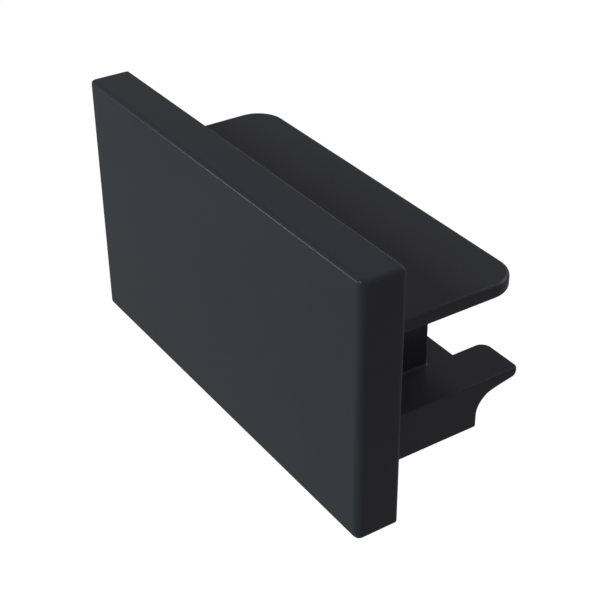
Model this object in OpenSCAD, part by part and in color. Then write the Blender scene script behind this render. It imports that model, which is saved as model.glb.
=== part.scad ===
// Track end cap, one moulded piece.
// It closes the cut end of a one-circuit lighting track: the face plate covers the end of
// the profile, the thin tongue enters the upper channel, the block fills the slot between
// the inner lips, and the foot with its two prongs hooks in below them.
// Millimetres, +Z up. The face plate looks along -Y and the fixings point along +Y.
// The origin lies on the back of the face plate, on the centre line, level with the middle
// of the strip between the tongue and the top of the plate.

/* [Face plate] */
// Width of the face plate, side to side
plate_w = 35; // [33:0.1:40]
// Height of the face plate
plate_h = 19.6; // [17.5:0.1:24]
// Thickness of the face plate
plate_t = 3.25; // [2.2:0.05:5]
// Rounding of the two upright front edges
plate_front_r = 0.6; // [0.5:0.05:1]
// Rounding of the rim round the top face and round the bottom face
plate_rim_r = 0.35; // [0.1:0.05:0.45]
// Rounding of the four edges of the back face
plate_back_r = 0.2; // [0.1:0.05:0.4]

/* [Tongue] */
// Width of the tongue
tongue_w = 31.2; // [28:0.1:33]
// How far the tongue reaches behind the face plate
tongue_reach = 11.1; // [9:0.1:14]
// Height of the tongue's upper face above the bottom of the plate
tongue_top = 14.3; // [12.5:0.1:16.5]
// Thickness of the tongue
tongue_t = 1.05; // [0.8:0.05:1.6]
// Rounding of the tongue's two free corners, seen from above
tongue_corner_r = 2.3; // [1:0.1:4]
// Rounding of the tongue's free edges
tongue_edge_r = 0.25; // [0.1:0.01:0.38]

/* [Block] */
// Width of the block between tongue and foot
block_w = 23.9; // [18:0.1:27]
// How far the block reaches behind the face plate
block_reach = 6.35; // [4:0.05:7.4]
// Rounding of the block's two upright back edges
block_edge_r = 0.15; // [0.05:0.05:1]

/* [Foot] */
// Width of the foot across both prongs
foot_w = 31.3; // [28:0.1:33]
// Height of the foot's upper face above the bottom of the plate
foot_top = 7; // [6:0.1:8.5]
// Height of the foot's underside above the bottom of the plate
foot_bottom = 3.4; // [1.5:0.1:3.9]
// How far the heel of the foot reaches behind the face plate
heel_reach = 7.85; // [6:0.05:8.2]
// How far the foot's upper lip reaches between the prongs
lip_reach = 8.6; // [8.3:0.1:10]
// Rounding of the foot's long side edges
foot_edge_r = 0.15; // [0.05:0.01:0.3]

/* [Prongs] */
// How far the prongs reach behind the face plate
prong_reach = 11.35; // [10:0.05:13]
// Width of each prong
prong_w = 3.7; // [2.4:0.1:5]
// Thickness of the prongs where they leave the heel
prong_root_t = 1.3; // [1:0.05:1.6]
// Thickness of the prongs at the tip
prong_tip_t = 0.6; // [0.4:0.05:0.9]
// Radius of the hollow between the heel and the underside of the prongs
heel_hollow_r = 1.6; // [0.8:0.05:1.9]
// Rounding of each prong's outer corner, seen from above
prong_outer_r = 0.35; // [0.1:0.05:1]
// Rounding of each prong's inner corner, seen from above
prong_inner_r = 0.8; // [0.1:0.05:1.2]
// Rounding of the prong tips, seen from the side
prong_tip_r = 0.15; // [0.05:0.01:0.19]

/* [Hidden] */
$fn = 96;
seat_z = (tongue_top + plate_h) / 2;
tongue_bottom = tongue_top - tongue_t;
prong_x = foot_w / 2 - prong_w;
inside = plate_t / 2;

function unit(v) = v / norm(v);

// Material between two sides that leave corner p along u and v, outside an arc of radius r
// that touches both. Taken away it rounds an outer corner, added it fills an inner one.
module corner(p, u, v, r) {
    a = unit(u);
    b = unit(v);
    half = acos(a * b) / 2;
    reach = r / tan(half);
    centre = p + unit(a + b) * r / sin(half);
    difference() {
        polygon([p, p + a * reach, centre, p + b * reach]);
        translate(centre) circle(r = r);
    }
}

// Rectangle with four rounded corners, from (x0, y0) to (x1, y1)
module rounded(x0, y0, x1, y1, r) {
    difference() {
        translate([x0, y0]) square([x1 - x0, y1 - y0]);
        corner([x0, y0], [1, 0], [0, 1], r);
        corner([x1, y0], [-1, 0], [0, 1], r);
        corner([x1, y1], [-1, 0], [0, -1], r);
        corner([x0, y1], [1, 0], [0, -1], r);
    }
}

// Extrusions of an outline drawn in YZ along X, and in XZ along Y
module along_x(width) {
    translate([-width / 2, 0, 0]) rotate([90, 0, 90]) linear_extrude(height = width) children();
}

module along_y(y0, y1) {
    translate([0, y1, 0]) rotate([90, 0, 0]) linear_extrude(height = y1 - y0) children();
}

// The plate's rim runs straight along its sides and turns round the two upright front edges.
// The four edges of the back face are rounded by what the plate is cut down to.
module face_plate() {
    turn_x = plate_w / 2 - plate_front_r;
    turn_y = plate_front_r - plate_t;
    behind = plate_t * 2;
    intersection() {
        union() {
            along_x(turn_x * 2) rounded(-plate_t, 0, behind, plate_h, plate_rim_r);
            along_y(turn_y, behind)
                rounded(-plate_w / 2, 0, plate_w / 2, plate_h, plate_rim_r);
            for (x = [-turn_x, turn_x])
                translate([x, turn_y, 0]) rotate_extrude() plate_turn();
        }
        along_x(plate_w) rounded(-behind, 0, 0, plate_h, plate_back_r);
        linear_extrude(height = plate_h)
            rounded(-plate_w / 2, -behind, plate_w / 2, 0, plate_back_r);
    }
}

// Section through an upright front edge, from its axis out to the rim
module plate_turn() {
    difference() {
        square([plate_front_r, plate_h]);
        corner([plate_front_r, 0], [-1, 0], [0, 1], plate_rim_r);
        corner([plate_front_r, plate_h], [-1, 0], [0, -1], plate_rim_r);
    }
}

// Section through the tongue's free edge, from 0 out to its rim
module rim(from, to) {
    difference() {
        translate([from, 0]) square([to - from, tongue_t]);
        corner([to, 0], [-1, 0], [0, 1], tongue_edge_r);
        corner([to, tongue_t], [-1, 0], [0, -1], tongue_edge_r);
    }
}

// The rim runs straight along the sides and the back and turns round the free corners
module tongue() {
    turn_x = tongue_w / 2 - tongue_corner_r;
    turn_y = tongue_reach - tongue_corner_r;
    translate([0, 0, tongue_bottom]) {
        along_x(turn_x * 2) rim(-inside, tongue_reach);
        along_y(-inside, turn_y) {
            rim(0, tongue_w / 2);
            mirror([1, 0]) rim(0, tongue_w / 2);
        }
        for (x = [-turn_x, turn_x])
            translate([x, turn_y, 0]) rotate_extrude() rim(0, tongue_corner_r);
    }
}

module block() {
    half = block_w / 2;
    translate([0, 0, foot_top - 0.5])
        linear_extrude(height = tongue_bottom - foot_top + 0.5 + tongue_t / 2)
            difference() {
                translate([-half, -inside]) square([block_w, block_reach + inside]);
                corner([half, block_reach], [-1, 0], [0, -1], block_edge_r);
                corner([-half, block_reach], [1, 0], [0, -1], block_edge_r);
            }
}

// Side view of the foot: the heel stands below, the prong leaves it over a hollow and
// thins towards its rounded tip
module foot_profile() {
    root = [heel_reach, foot_top - prong_root_t];
    tip = [prong_reach, foot_top - prong_tip_t];
    slope = unit(tip - root);
    difference() {
        union() {
            polygon([
                [-inside, foot_bottom],
                [heel_reach, foot_bottom],
                root,
                tip,
                [prong_reach, foot_top],
                [-inside, foot_top]
            ]);
            corner(root, [0, -1], slope, heel_hollow_r);
        }
        corner(tip, [0, 1], -slope, prong_tip_r);
        corner([prong_reach, foot_top], [0, -1], [-1, 0], prong_tip_r);
        corner([heel_reach, foot_bottom], [-1, 0], [0, 1], foot_edge_r);
    }
}

// Plan of the foot: the two prongs stand out either side of the lip
module foot_plan() {
    half = foot_w / 2;
    difference() {
        translate([-half, -inside]) square([foot_w, prong_reach + inside]);
        translate([-prong_x, lip_reach]) square([prong_x * 2, prong_reach]);
        for (side = [-1, 1]) {
            corner([side * half, prong_reach], [-side, 0], [0, -1], prong_outer_r);
            corner([side * prong_x, prong_reach], [side, 0], [0, -1], prong_inner_r);
        }
    }
}

// Front view of the foot, with its long edges rounded
module foot_front() {
    rounded(-foot_w / 2, foot_bottom, foot_w / 2, foot_top, foot_edge_r);
}

module foot() {
    intersection() {
        along_x(foot_w) foot_profile();
        linear_extrude(height = foot_top) foot_plan();
        along_y(-inside, prong_reach) foot_front();
    }
}

module end_cap() {
    color([0.03, 0.03, 0.035])
        translate([0, 0, -seat_z])
            union() {
                face_plate();
                tongue();
                block();
                foot();
            }
}

end_cap();
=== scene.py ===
"""Dress of the track end cap: one dark moulded piece with softened edges, over its CAD solid."""

from math import atan2, cos, radians, sin

import bpy
from mathutils import Matrix, Vector


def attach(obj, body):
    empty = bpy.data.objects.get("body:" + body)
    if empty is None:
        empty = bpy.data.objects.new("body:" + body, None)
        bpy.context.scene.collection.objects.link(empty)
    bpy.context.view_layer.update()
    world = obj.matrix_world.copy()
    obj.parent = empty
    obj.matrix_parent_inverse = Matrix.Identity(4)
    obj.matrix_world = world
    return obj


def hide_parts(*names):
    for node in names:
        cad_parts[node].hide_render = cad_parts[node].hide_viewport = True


MM = 0.001

# Face plate, in millimetres from its middle, its back face and its lower edge
PLATE_W = 35.0
PLATE_H = 19.6
PLATE_T = 3.25
PLATE_FRONT_R = 0.6
PLATE_RIM_R = 0.35
PLATE_TOP_SIDE_R = 0.45
PLATE_BACK_R = 0.2
PLATE_BACK_SIDE_R = 0.37

# Tongue
TONGUE_W = 31.2
TONGUE_REACH = 11.1
TONGUE_TOP = 14.3
TONGUE_T = 1.05
TONGUE_CORNER_R = 2.3
TONGUE_EDGE_R = 0.25

# Block between tongue and foot
BLOCK_W = 23.9
BLOCK_REACH = 6.35
BLOCK_EDGE_R = 0.15

# Foot and its prongs
FOOT_W = 31.3
FOOT_TOP = 7.0
FOOT_BOTTOM = 3.4
HEEL_REACH = 7.85
LIP_REACH = 8.6
PRONG_REACH = 11.35
PRONG_W = 3.7
PRONG_ROOT_T = 1.3
PRONG_TIP_T = 0.6
HEEL_HOLLOW_R = 1.6
PRONG_OUTER_R = 0.45
PRONG_INNER_R = 0.8
PRONG_UNDER_R = 0.38
FOOT_EDGE_R = 0.15

# Small fillets where one form grows out of another
ROOT_FILLET_R = 0.2

# Tongue, block and foot start inside the plate, the block stands a little way into the foot,
# and the notch between the prongs is cut past their ends
ROOT_Y = -PLATE_T / 2
BLOCK_SUNK = 0.5
NOTCH_PAST = 2.0

# Steps round an edge, and round the larger curves
EDGE_STEPS = 5
CURVE_STEPS = 16

# Angles between the two faces of an edge, in degrees: sharp from the first on, and flat up to
# the second
SHARP_ANGLE = 25.0
FLAT_ANGLE = 0.5

# An edge runs along an axis when this share of its direction does. Two places count as one
# within the slack, and a height as another beyond the step.
STRAIGHT = 0.9
SLACK = 0.02
HEIGHT_STEP = 0.1

# The frame's origin stands this far above the plate's lower edge
SEAT_Z = (TONGUE_TOP + PLATE_H) / 2

# Black of the plastic at its darkest and at its palest, and how rough it is
BLACK_DARK = (0.0221, 0.0227, 0.0288, 1)
BLACK_PALE = (0.0241, 0.0248, 0.0313, 1)
BASE_ROUGHNESS = 0.32

# Gloss of the plastic: how much of it there is, and how rough it is
GLOSS = 0.12
GLOSS_ROUGHNESS = 0.22

# Camera, solved from the plate's straight edges
CAMERA_AZIMUTH = 56.65
CAMERA_ELEVATION = 32.6
CAMERA_ROLL = -0.41
CAMERA_DISTANCE = 100.17
CAMERA_AIM = (0.9, 3.72, -10.02)
CAMERA_LENS = 81.95

# Lamps: the point they face, and the colours of those before the plate and of those behind it
LAMP_AIM = (0, 3, -8)
KEY_TINT = (0.905, 1.0, 0.965)
FILL_TINT = (1.0, 0.955, 1.0)

# Surroundings: how much light they give, with their colour
ROOM_LIGHT = 0.04
ROOM_TINT = (0.97, 0.98, 1.0, 1)

# Floor: its depth and size, its grey, and the white that the camera sees over it. The share
# that the white leaves is grey paper, which shows the object's shadow.
FLOOR_DROP = 30.0
FLOOR_SIZE = 4000.0
FLOOR_GREY = (0.5, 0.5, 0.5, 1)
FLOOR_WHITE = 1.06
FLOOR_WHITE_SHARE = 0.93

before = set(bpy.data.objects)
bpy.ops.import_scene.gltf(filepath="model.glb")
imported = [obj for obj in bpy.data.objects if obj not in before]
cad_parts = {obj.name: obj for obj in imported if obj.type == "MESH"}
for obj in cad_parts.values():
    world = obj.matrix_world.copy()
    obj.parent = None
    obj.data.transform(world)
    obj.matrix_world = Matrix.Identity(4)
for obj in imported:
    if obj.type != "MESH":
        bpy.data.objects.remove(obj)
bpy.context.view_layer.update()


class Wire:
    """One output of a node, or a bare node tree, from which further nodes are made."""

    def __init__(self, tree, socket=None):
        self.tree = tree
        self.socket = socket

    def node(self, kind, settings=None, inputs=None, output=0):
        """Add a node, set it up, and give back the chosen output."""
        made = self.tree.nodes.new(kind)
        for name, value in (settings or {}).items():
            setattr(made, name, value)
        for name, value in (inputs or {}).items():
            if isinstance(value, Wire):
                self.tree.links.new(value.socket, made.inputs[name])
            else:
                made.inputs[name].default_value = value
        return Wire(self.tree, made.outputs[output] if made.outputs else None)

    def maths(self, operation, first, second):
        return self.node("ShaderNodeMath", {"operation": operation}, {0: first, 1: second})

    def __add__(self, other):
        return self.maths("ADD", self, other)

    def __radd__(self, other):
        return self.maths("ADD", other, self)

    def __sub__(self, other):
        return self.maths("SUBTRACT", self, other)

    def __rsub__(self, other):
        return self.maths("SUBTRACT", other, self)

    def __mul__(self, other):
        return self.maths("MULTIPLY", self, other)

    def __rmul__(self, other):
        return self.maths("MULTIPLY", other, self)

    def at_most_one(self):
        return self.maths("MINIMUM", self, 1.0)


def fresh_tree(owner):
    """The emptied node tree of a material or a world."""
    owner.use_nodes = True
    owner.node_tree.nodes.clear()
    return Wire(owner.node_tree)


def to_frame(x, y, z):
    """A point of the part's source, in millimetres from the lower edge, as one of the frame."""
    return Vector((x, y, z - SEAT_Z)) * MM


def to_source(point):
    """A point of the frame as one of the part's source."""
    return point / MM + Vector((0, 0, SEAT_Z))


def near(a, b):
    return abs(a - b) < SLACK


def above(z, level):
    return z > level + HEIGHT_STEP


def below(z, level):
    return z < level - HEIGHT_STEP


def activate(obj):
    """Make obj the only selected and the active one."""
    bpy.ops.object.select_all(action="DESELECT")
    obj.select_set(True)
    bpy.context.view_layer.objects.active = obj


def box_between(name, low, high):
    """A box between two corners given in the source's millimetres, its place in its mesh."""
    bpy.ops.object.select_all(action="DESELECT")
    a = to_frame(*low)
    b = to_frame(*high)
    bpy.ops.mesh.primitive_cube_add(size=1, location=(a + b) / 2, scale=b - a)
    obj = bpy.context.active_object
    obj.name = name
    bpy.ops.object.transform_apply(location=True, rotation=True, scale=True)
    return obj


def select_edges(obj, chosen):
    """Select the edges for which chosen(middle, along) holds, in the source's millimetres."""
    activate(obj)
    mesh = obj.data
    for element in (*mesh.vertices, *mesh.polygons, *mesh.edges):
        element.select = False
    for edge in mesh.edges:
        a, b = (to_source(mesh.vertices[i].co) for i in edge.vertices)
        edge.select = bool(chosen((a + b) / 2, (b - a).normalized()))
    bpy.context.tool_settings.mesh_select_mode = (False, True, False)


def round_edges(obj, chosen, radius):
    """Round the chosen edges with the steps of a large curve."""
    select_edges(obj, chosen)
    bpy.ops.object.mode_set(mode="EDIT")
    bpy.ops.mesh.bevel(
        offset=radius * MM, segments=CURVE_STEPS, affect="EDGES", clamp_overlap=False
    )
    bpy.ops.object.mode_set(mode="OBJECT")


def merge_flats(obj):
    """Take out the edges that lie within a flat face."""
    activate(obj)
    bpy.ops.object.mode_set(mode="EDIT")
    bpy.ops.mesh.select_all(action="SELECT")
    bpy.ops.mesh.dissolve_limited(angle_limit=radians(FLAT_ANGLE))
    bpy.ops.object.mode_set(mode="OBJECT")


def combine(obj, other, operation):
    """Join other to obj or cut it away, and apply the result."""
    modifier = obj.modifiers.new("combine", "BOOLEAN")
    modifier.operation = operation
    modifier.solver = "EXACT"
    modifier.object = other
    activate(obj)
    bpy.ops.object.modifier_apply(modifier=modifier.name)
    bpy.data.objects.remove(other)


def tongue_form():
    """Flat tongue with two round free corners."""
    half = TONGUE_W / 2
    obj = box_between(
        "tongue", (-half, ROOT_Y, TONGUE_TOP - TONGUE_T), (half, TONGUE_REACH, TONGUE_TOP)
    )

    def free_corner(middle, along):
        return abs(along.z) > STRAIGHT and near(middle.y, TONGUE_REACH)

    round_edges(obj, free_corner, TONGUE_CORNER_R)
    return obj


def block_form():
    """Block that fills the slot between the track's lips."""
    half = BLOCK_W / 2
    return box_between(
        "block",
        (-half, ROOT_Y, FOOT_TOP - BLOCK_SUNK),
        (half, BLOCK_REACH, TONGUE_TOP - TONGUE_T / 2),
    )


def heel_with_shelf():
    """Heel with a shelf along its top, as wide as the foot, which thins towards its end."""
    half = FOOT_W / 2
    obj = box_between("foot", (-half, ROOT_Y, FOOT_BOTTOM), (half, HEEL_REACH, FOOT_TOP))
    root_z = FOOT_TOP - PRONG_ROOT_T
    activate(obj)
    bpy.ops.object.mode_set(mode="EDIT")
    bpy.ops.mesh.select_all(action="SELECT")
    bpy.ops.mesh.bisect(plane_co=to_frame(0, 0, root_z), plane_no=(0, 0, 1))
    bpy.ops.mesh.select_all(action="DESELECT")
    bpy.ops.object.mode_set(mode="OBJECT")
    for face in obj.data.polygons:
        face.select = face.normal.y > STRAIGHT and to_source(face.center).z > root_z
    bpy.context.tool_settings.mesh_select_mode = (False, False, True)
    bpy.ops.object.mode_set(mode="EDIT")
    bpy.ops.mesh.extrude_region_move(
        TRANSFORM_OT_translate={"value": (0, (PRONG_REACH - HEEL_REACH) * MM, 0)}
    )
    bpy.ops.object.mode_set(mode="OBJECT")

    def tip_edge(middle, along):
        return near(middle.y, PRONG_REACH) and near(middle.z, root_z)

    select_edges(obj, tip_edge)
    bpy.ops.object.mode_set(mode="EDIT")
    bpy.ops.transform.translate(value=(0, 0, (PRONG_ROOT_T - PRONG_TIP_T) * MM))
    bpy.ops.object.mode_set(mode="OBJECT")
    return obj


def hollow_reach():
    """How far along its two sides the hollow's arc touches, for a radius of 1."""
    slope = atan2(PRONG_ROOT_T - PRONG_TIP_T, PRONG_REACH - HEEL_REACH)
    half = radians(90) / 2 + slope / 2
    return cos(half) / sin(half)


def foot_form():
    """Heel with a lip and two prongs, which leave it over a hollow and thin towards the tip."""
    obj = heel_with_shelf()
    half = FOOT_W / 2

    def hollow(middle, along):
        at_root = near(middle.y, HEEL_REACH) and near(middle.z, FOOT_TOP - PRONG_ROOT_T)
        return at_root and abs(along.x) > STRAIGHT

    round_edges(obj, hollow, HEEL_HOLLOW_R * hollow_reach())
    notch = box_between(
        "notch",
        (-half + PRONG_W, LIP_REACH, FOOT_BOTTOM),
        (half - PRONG_W, PRONG_REACH + NOTCH_PAST, FOOT_TOP + NOTCH_PAST),
    )
    combine(obj, notch, "DIFFERENCE")
    merge_flats(obj)

    def tip_corner(at_x):
        return lambda middle, along: (
            abs(along.z) > STRAIGHT
            and near(middle.y, PRONG_REACH)
            and near(abs(middle.x), at_x)
        )

    round_edges(obj, tip_corner(half), PRONG_OUTER_R)
    round_edges(obj, tip_corner(half - PRONG_W), PRONG_INNER_R)
    return obj


def edge_radius(middle, along, convex):
    """Rounding of an edge of the joined moulding, by where it lies."""
    y, z = middle.y, middle.z
    upright = abs(along.z) > STRAIGHT
    on_side = near(abs(middle.x), FOOT_W / 2)
    if near(y, LIP_REACH) and not on_side and (upright or below(z, FOOT_TOP)):
        return 0.0
    if not convex:
        return ROOT_FILLET_R
    if near(y, -PLATE_T):
        return PLATE_FRONT_R if upright else PLATE_RIM_R
    if near(y, 0):
        return PLATE_BACK_SIDE_R if upright else PLATE_BACK_R
    if y < 0:
        return PLATE_TOP_SIDE_R if z > PLATE_H / 2 else PLATE_RIM_R
    if y > PRONG_REACH - PRONG_INNER_R and below(z, FOOT_TOP):
        # The underside is rounder across the prong's end than along its sides
        return FOOT_EDGE_R + (PRONG_UNDER_R - FOOT_EDGE_R) * abs(along.x)
    if above(z, FOOT_TOP):
        return BLOCK_EDGE_R if below(z, TONGUE_TOP - TONGUE_T) else TONGUE_EDGE_R
    return FOOT_EDGE_R


def sides_of_edges(mesh):
    """For each edge, its faces' normals and the point where each face's walk along it starts."""
    sides = {}
    for face in mesh.polygons:
        corners = list(face.vertices)
        for start, end in zip(corners, corners[1:] + corners[:1]):
            sides.setdefault(frozenset((start, end)), []).append((face.normal, start))
    return sides


def weigh_edges(mesh):
    """Give every sharp edge its rounding, as a share of the largest one."""
    sides = sides_of_edges(mesh)
    weights = mesh.attributes.new("bevel_weight_edge", "FLOAT", "EDGE")
    for edge in mesh.edges:
        (first, start), (second, other) = sides[frozenset(edge.vertices)]
        if first.angle(second) < radians(SHARP_ANGLE):
            continue
        a, b = (to_source(mesh.vertices[i].co) for i in (start, other))
        convex = first.cross(second).dot(b - a) > 0
        radius = edge_radius((a + b) / 2, (b - a).normalized(), convex)
        weights.data[edge.index].value = radius / PLATE_FRONT_R


def soften(obj):
    """Round every sharp edge and fill every root, each by its own radius."""
    weigh_edges(obj.data)
    bevel = obj.modifiers.new("soften", "BEVEL")
    bevel.width = PLATE_FRONT_R * MM
    bevel.segments = EDGE_STEPS
    bevel.limit_method = "WEIGHT"
    bevel.use_clamp_overlap = False
    bevel.harden_normals = True
    bevel.miter_outer = "MITER_ARC"
    activate(obj)
    bpy.ops.object.shade_smooth()
    bpy.ops.object.modifier_apply(modifier=bevel.name)


def end_cap_moulding():
    """The whole moulding: plate, tongue, block and foot in one closed skin."""
    half = PLATE_W / 2
    plate = box_between("moulded_end_cap", (-half, -PLATE_T, 0), (half, 0, PLATE_H))
    for form in (tongue_form, block_form, foot_form):
        combine(plate, form(), "UNION")
    merge_flats(plate)
    soften(plate)
    return plate


def moulded_black():
    """Satin black plastic with the fine even grain of an eroded mould.

    Its gloss is a thin coat, which stays faint at flat angles in pale surroundings.
    """
    material = bpy.data.materials.new("moulded_black")
    build = fresh_tree(material)
    spot = build.node("ShaderNodeTexCoord", output=3)
    grain = build.node(
        "ShaderNodeTexNoise",
        {},
        {"Vector": spot, "Scale": 5200.0, "Detail": 2.0, "Roughness": 0.55},
    )
    cloud = build.node(
        "ShaderNodeTexNoise",
        {},
        {"Vector": spot, "Scale": 140.0, "Detail": 2.0, "Roughness": 0.5},
    )
    tone = build.node(
        "ShaderNodeMix",
        {"data_type": "RGBA"},
        {0: cloud, 6: BLACK_DARK, 7: BLACK_PALE},
        output=2,
    )
    bump = build.node(
        "ShaderNodeBump", {}, {"Strength": 0.18, "Distance": 0.00003, "Height": grain}
    )
    surface = build.node(
        "ShaderNodeBsdfPrincipled",
        {},
        {
            "Base Color": tone,
            "Roughness": BASE_ROUGHNESS + (cloud - 0.5) * 0.06 + (grain - 0.5) * 0.05,
            "Normal": bump,
            "Specular IOR Level": 0.0,
            "Coat Weight": GLOSS + (cloud - 0.5) * 0.03,
            "Coat Roughness": GLOSS_ROUGHNESS,
        },
    )
    build.node("ShaderNodeOutputMaterial", {}, {"Surface": surface})
    return material


def seen_as_white(build):
    """1 for what the camera sees, itself, mirrored or through clear material."""
    camera = build.node("ShaderNodeLightPath", output="Is Camera Ray")
    mirrored = build.node("ShaderNodeLightPath", output="Is Glossy Ray")
    clear = build.node("ShaderNodeLightPath", output="Is Transmission Ray")
    return (camera + mirrored + clear).at_most_one()


def pale_floor():
    """Grey paper that the camera sees as nearly white, with the object's soft shadow."""
    material = bpy.data.materials.new("pale_floor")
    build = fresh_tree(material)
    paper = build.node("ShaderNodeBsdfDiffuse", {}, {"Color": FLOOR_GREY})
    white = build.node(
        "ShaderNodeEmission", {}, {"Color": (1, 1, 1, 1), "Strength": FLOOR_WHITE}
    )
    share = seen_as_white(build) * FLOOR_WHITE_SHARE
    mixed = build.node("ShaderNodeMixShader", {}, {0: share, 1: paper, 2: white})
    build.node("ShaderNodeOutputMaterial", {}, {"Surface": mixed})
    return material


def floor():
    bpy.ops.object.select_all(action="DESELECT")
    middle = to_frame(0, 0, -FLOOR_DROP)
    bpy.ops.mesh.primitive_plane_add(size=FLOOR_SIZE * MM, location=middle)
    obj = bpy.context.active_object
    obj.name = "floor"
    bpy.ops.object.transform_apply(location=True, rotation=True, scale=True)
    obj.data.materials.append(pale_floor())


def studio_world():
    """Even surroundings that give little light and are white to the camera."""
    world = bpy.data.worlds.new("studio")
    bpy.context.scene.world = world
    build = fresh_tree(world)
    dim = build.node("ShaderNodeBackground", {}, {"Color": ROOM_TINT, "Strength": ROOM_LIGHT})
    white = build.node("ShaderNodeBackground", {}, {"Color": (1, 1, 1, 1), "Strength": 1.0})
    mixed = build.node(
        "ShaderNodeMixShader", {}, {0: seen_as_white(build), 1: dim, 2: white}
    )
    build.node("ShaderNodeOutputWorld", {}, {"Surface": mixed})


def soft_box(name, position, size, power, tint):
    """Flat lamp at a place in millimetres from the origin, turned to the object."""
    data = bpy.data.lights.new(name, "AREA")
    data.shape = "RECTANGLE"
    data.size, data.size_y = (side * MM for side in size)
    data.energy = power
    data.color = tint
    lamp = bpy.data.objects.new(name, data)
    bpy.context.scene.collection.objects.link(lamp)
    lamp.location = Vector(position) * MM
    facing = (Vector(LAMP_AIM) - Vector(position)).to_track_quat("-Z", "Y")
    lamp.rotation_euler = facing.to_euler()


def lamps():
    """Lamps round the object: place, width and height in millimetres, power and colour."""
    soft_box("left", (-380, -380, 0), (150, 150), 1.08, KEY_TINT)
    soft_box("front", (-60, -477, 270), (260, 260), 2.86, KEY_TINT)
    soft_box("back", (-40, 470, 300), (500, 400), 2.2, FILL_TINT)
    soft_box("back_right", (125, 470, 270), (260, 260), 0.9, FILL_TINT)
    soft_box("left_back", (-380, 400, 40), (150, 150), 0.3, FILL_TINT)
    soft_box("right", (540, 90, 70), (200, 200), 0.3, FILL_TINT)


def photo_camera():
    """Camera at the photograph's viewing angle."""
    azimuth, elevation = radians(CAMERA_AZIMUTH), radians(CAMERA_ELEVATION)
    back = Vector(
        (sin(azimuth) * cos(elevation), -cos(azimuth) * cos(elevation), sin(elevation))
    )
    right = Vector((0, 0, 1)).cross(back).normalized()
    up = back.cross(right)
    turn = Matrix.Rotation(radians(CAMERA_ROLL), 3, back)
    right, up = turn @ right, turn @ up
    data = bpy.data.cameras.new("photo_camera")
    data.lens = CAMERA_LENS
    data.sensor_width = 36
    data.clip_start = 0.005
    camera = bpy.data.objects.new("photo_camera", data)
    bpy.context.scene.collection.objects.link(camera)
    spot = (Vector(CAMERA_AIM) + back * CAMERA_DISTANCE) * MM
    facing = Matrix((right, up, back)).transposed().to_4x4()
    camera.matrix_world = Matrix.Translation(spot) @ facing
    bpy.context.scene.camera = camera


moulding = end_cap_moulding()
moulding.data.materials.clear()
moulding.data.materials.append(moulded_black())
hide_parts("end_cap")
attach(moulding, "root")

floor()
studio_world()
lamps()
photo_camera()
bpy.context.scene.view_settings.view_transform = "Standard"
